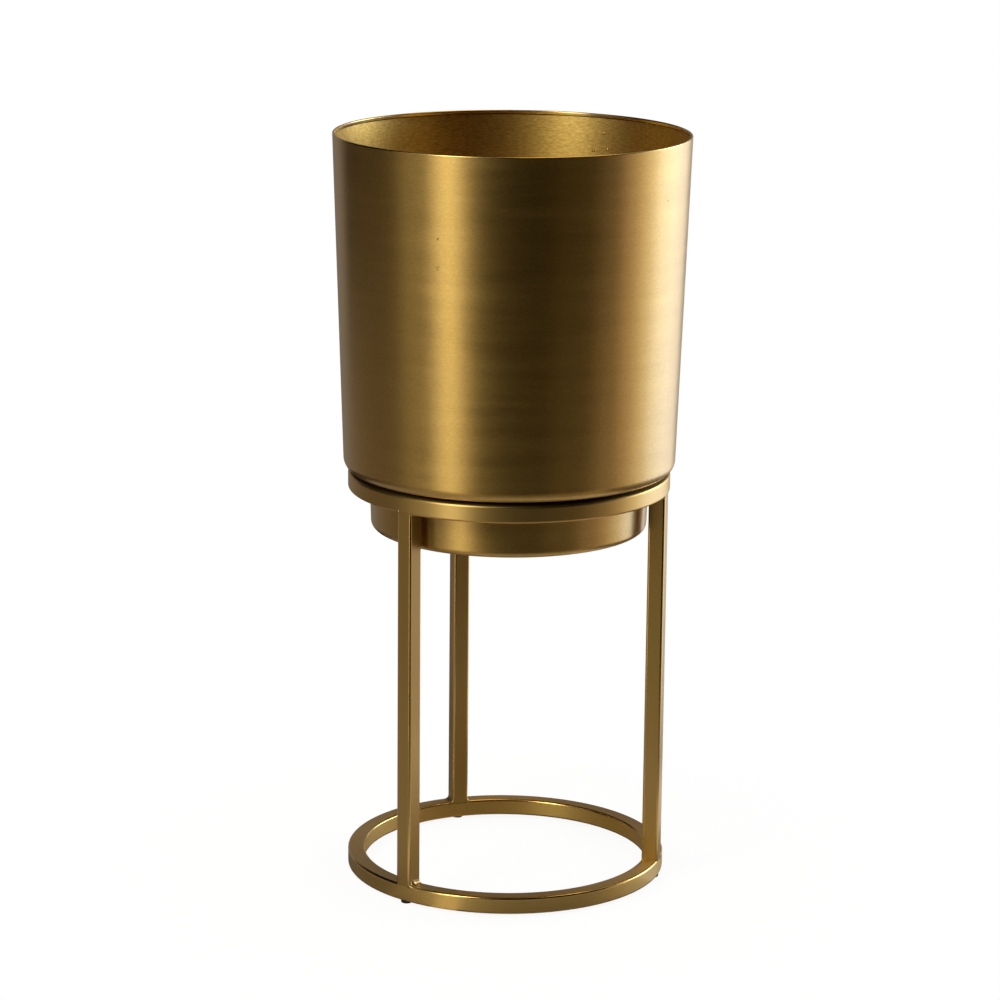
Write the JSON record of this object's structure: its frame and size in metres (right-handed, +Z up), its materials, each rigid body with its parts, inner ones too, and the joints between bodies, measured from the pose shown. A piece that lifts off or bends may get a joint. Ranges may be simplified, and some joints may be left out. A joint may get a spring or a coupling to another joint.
{
  "type": "plant stand",
  "caption": "Plant stand: a tapered metal planter with a stepped bottom that lifts out of a welded square-tube frame with round top and base rings.",
  "frame": {"origin": "on the floor, on the common axis of the rings and the planter, at the centre of the bounding box's bottom", "axes": "+Z up along the axis, the longest extent; -Y is the front that the picture shows, +X its right"},
  "size_m": [0.2499, 0.25, 0.533],
  "materials": {
    "frame_brass": "antiqued, satin brushed",
    "planter_brass": "antiqued, fine brushed round the pot",
    "foot_rubber": "matt black"
  },
  "bodies": {
    "stand": {"top_ring": "frame_brass", "base_ring": "frame_brass", "leg_front_left": "frame_brass", "leg_right": "frame_brass", "leg_rear": "frame_brass", "top_welds": "frame_brass", "base_welds": "frame_brass", "foot_front_left": "foot_rubber", "foot_right": "foot_rubber", "foot_rear": "foot_rubber"},
    "pot": {"planter_shell": "planter_brass", "planter_cup": "planter_brass"}
  },
  "joints": [
    {"name": "pot_lift", "type": "slide", "parent": "stand", "child": "pot", "axis": [0, 0, 1], "range_m": [0, 0.08]}
  ]
}
